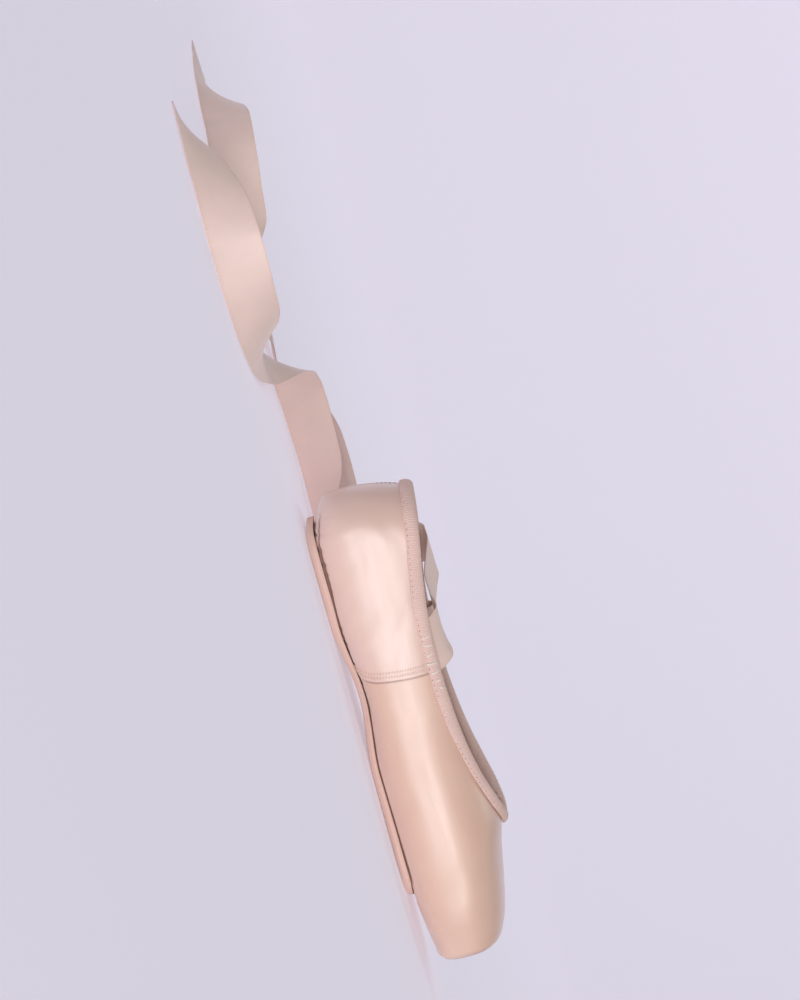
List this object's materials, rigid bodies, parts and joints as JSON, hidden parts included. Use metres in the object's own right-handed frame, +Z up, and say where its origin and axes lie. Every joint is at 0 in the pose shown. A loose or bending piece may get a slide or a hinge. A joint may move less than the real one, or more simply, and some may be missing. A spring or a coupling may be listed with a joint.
{
  "type": "pointe shoe",
  "caption": "Satin ballet pointe shoe with a flat-ended box toe, a bound low topline, a thin leather sole and loose ankle ribbons, standing empty on its sole.",
  "frame": {"origin": "on the floor under the middle of the shoe, leaving its ribbons and drawstring out", "axes": "+X from the heel to the toe, +Y to the shoe's left side, +Z up from the sole"},
  "size_m": [0.4318, 0.2604, 0.0539],
  "materials": {
    "satin": "worn pale peach-pink satin over glued cloth, with a soft sheen",
    "binding": "matt cotton tape, folded over the topline and stitched",
    "ribbon": "single-faced satin ribbon",
    "sole_leather": "thin buffed sole leather, scuffed at heel and ball",
    "sock": "undyed cotton sock lining"
  },
  "bodies": {
    "root": {"upper": "satin", "topline_binding": "binding", "drawstring_knot": "binding", "outsole": "sole_leather", "insole": "sock", "ribbon_left": "ribbon", "ribbon_right": "ribbon"}
  },
  "joints": []
}
